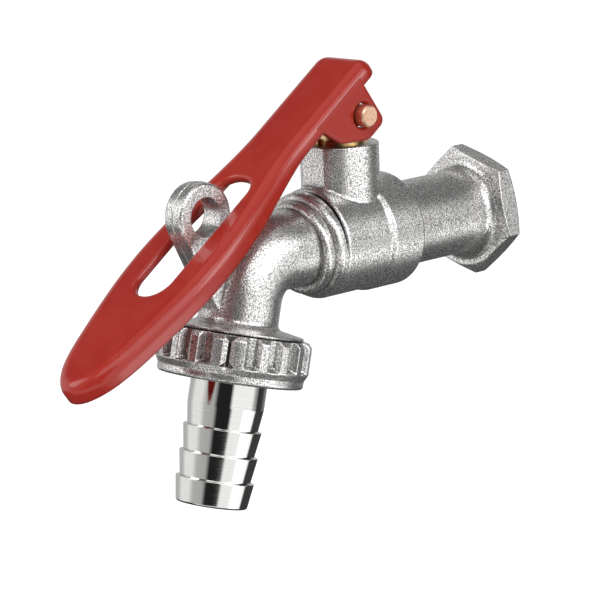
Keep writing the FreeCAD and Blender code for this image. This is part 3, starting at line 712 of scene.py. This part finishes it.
# %% Floor and background
floor_drop = 40 * MM
floor_size = 6.0
floor_lift = 0.66
alone()
bpy.ops.mesh.primitive_plane_add(size=floor_size, location=(0, 0, cad_box[0][2] - floor_drop))
floor = bpy.context.object
floor.name = "floor"
floor_material, tree, shader, place = start_material("floor", Roughness=0.9)
shader.inputs["Base Color"].default_value = (0.80, 0.80, 0.80, 1.0)
shader.inputs["Emission Strength"].default_value = 1.0
rays = add_node(tree, "ShaderNodeLightPath")
tree.links.new(blend_colour(tree, rays.outputs["Is Camera Ray"], grey(0.0), grey(floor_lift)),
               shader.inputs["Emission Color"])
clear = add_node(tree, "ShaderNodeBsdfTransparent")
either = add_node(tree, "ShaderNodeMixShader")
tree.links.new(rays.outputs["Is Glossy Ray"], either.inputs["Fac"])
tree.links.new(shader.outputs["BSDF"], either.inputs[1])
tree.links.new(clear.outputs["BSDF"], either.inputs[2])
tree.links.new(either.outputs["Shader"], tree.nodes["Material Output"].inputs["Surface"])
floor.data.materials.append(floor_material)
print("floor at", round(floor.location.z * 1000, 1), "mm")

# %% [markdown]
# ## Studio
# Bright metal shows what stands round it, so the studio is laid out as upright boards all the way
# round the tap, each a part of the circle with its own brightness. Angles run from the camera, and
# are positive to the right as it sees the tap. The black board beside the camera draws the dark
# stripe down the hose tail, and the white one to its right draws the bright stripe beside it. A
# lower ring of boards lights the undersides, with near black below it. One bright board hangs high
# on the right for the lever's folded edge, under a ceiling that is dim but for its middle. Heights
# are shares from 0, straight down, to 1, straight up. To diffuse surfaces the studio is one even,
# plain level of light, and to the camera it is plain white.

# %% World
def direction_from_camera(turn, rise):
    """A direction from the tap: turn is measured from the camera, to the right as it sees it."""
    flat = Vector((-sight.x, -sight.y, 0.0)).normalized()
    side = Vector((-flat.y, flat.x, 0.0))
    angle = math.radians(turn)
    level = (flat * math.cos(angle) + side * math.sin(angle)) * math.cos(math.radians(rise))
    return level + Vector((0.0, 0.0, math.sin(math.radians(rise))))


world = bpy.data.worlds.new("studio")
bpy.context.scene.world = world
world.use_nodes = True
tree = world.node_tree
background = tree.nodes["Background"]
background.inputs["Strength"].default_value = 1.0
rays = add_node(tree, "ShaderNodeLightPath")
way = add_node(tree, "ShaderNodeTexCoord")
print("world", world.name)

# %% Helpers for the boards
def along_direction(direction):
    """How far the looked-at direction runs along a given one."""
    node = add_node(tree, "ShaderNodeVectorMath", operation="DOT_PRODUCT")
    tree.links.new(way.outputs["Generated"], node.inputs[0])
    node.inputs[1].default_value = direction
    return node.outputs["Value"]


def strip(source, stops):
    """A ramp with several grey stops."""
    node = add_node(tree, "ShaderNodeValToRGB")
    band = node.color_ramp
    while len(band.elements) < len(stops):
        band.elements.new(0.5)
    for element, (position, value) in zip(band.elements, stops):
        element.position = position
        element.color = grey(value)
    tree.links.new(source, node.inputs["Fac"])
    return node.outputs["Color"]


angle = maths(tree, "ARCTAN2", along_direction(direction_from_camera(90.0, 0.0)),
              along_direction(direction_from_camera(0.0, 0.0)))
round_share = maths(tree, "ADD", maths(tree, "DIVIDE", angle, 2 * math.pi), 0.5)
upwards = along_direction(Vector((0, 0, 1)))
height_share = maths(tree, "ADD", maths(tree, "MULTIPLY", upwards, 0.5), 0.5)


def set_up(some_boards):
    """Stands boards in a ring. Each is a turn from the camera in degrees, and a brightness."""
    return strip(round_share, [((turn + 180) / 360, value) for turn, value in some_boards])


print("board helpers ready")

# %% Boards
boards = ((-180, 0.55), (-130, 0.6), (-110, 1.1), (-80, 1.1), (-64, 0.62), (-36, 0.55),
          (-25, 0.02), (12, 0.02), (20, 1.30), (80, 1.30), (93, 0.35), (100, 0.04), (126, 0.04),
          (145, 0.45), (180, 0.55))
low_boards = ((-180, 0.06), (-78, 0.06), (-55, 1.1), (30, 1.2), (52, 1.3), (58, 3.2), (78, 3.2),
              (84, 1.5), (98, 1.5), (104, 0.06), (180, 0.06))
high_board_sides = ((-180, 0.0), (30, 0.0), (35, 1.0), (66, 1.0), (72, 0.0), (180, 0.0))
high_board_ends = ((0.0, 0.0), (0.58, 0.0), (0.65, 1.0), (0.89, 1.0), (0.92, 0.0), (1.0, 0.0))
high_board_glow = 2.4
under_glow = 0.06
low_share = strip(height_share, [(0.0, 1.0), (0.32, 1.0), (0.37, 0.0), (1.0, 0.0)])
under_share = strip(height_share, [(0.0, 1.0), (0.145, 1.0), (0.19, 0.0), (1.0, 0.0)])
ceiling_share = strip(height_share, [(0.0, 0.0), (0.74, 0.0), (0.81, 1.0), (1.0, 1.0)])
ceiling = strip(height_share, [(0.0, 0.12), (0.92, 0.12), (0.97, 0.9), (1.0, 0.9)])
lower = blend_colour(tree, under_share, set_up(low_boards), grey(under_glow))
standing = blend_colour(tree, low_share, set_up(boards), lower)
roofed = blend_colour(tree, ceiling_share, standing, ceiling)
high_share = maths(tree, "MULTIPLY", set_up(high_board_sides), strip(height_share, high_board_ends))
room = blend_colour(tree, high_share, roofed, grey(high_board_glow))
print("upright boards", len(boards), "low boards", len(low_boards))

# %% What each ray sees
even_level = 0.45
soft_light = blend_colour(tree, rays.outputs["Is Glossy Ray"], grey(even_level), room)
seen = blend_colour(tree, rays.outputs["Is Camera Ray"], soft_light, grey(1.0))
tree.links.new(seen, background.inputs["Color"])
print("even level for diffuse surfaces", even_level)

# %% [markdown]
# ## Lamps
# Three soft boxes stand round the camera: one to its left, one to its right, and one in front of
# the tap above the camera. They are large for the size of the tap, so the shadows are soft and
# the highlights are broad.

# %% Lamps
lamp_distance = 0.9
lit_place = Vector((-55.0, 0.0, 0.0)) * MM


def soft_box(name, turn, rise, width, height, power):
    """A rectangular lamp that looks at the tap from a direction given as for the boards."""
    light = bpy.data.lights.new(name, "AREA")
    light.shape = "RECTANGLE"
    light.size = width
    light.size_y = height
    light.energy = power
    lamp = bpy.data.objects.new(name, light)
    bpy.context.scene.collection.objects.link(lamp)
    way_to_lamp = direction_from_camera(turn, rise)
    lamp.location = lit_place + way_to_lamp * lamp_distance
    lamp.rotation_euler = (-way_to_lamp).to_track_quat("-Z", "Y").to_euler()
    print(name, "at", [round(part, 2) for part in lamp.location])


soft_box("left_box", turn=-70.0, rise=28.0, width=0.50, height=0.50, power=2.4)
soft_box("right_box", turn=60.0, rise=24.0, width=0.40, height=0.35, power=1.6)
soft_box("front_box", turn=4.0, rise=42.0, width=0.80, height=0.45, power=2.2)
bpy.context.scene.view_settings.view_transform = "Standard"

# %% [markdown]

print("scene set up")
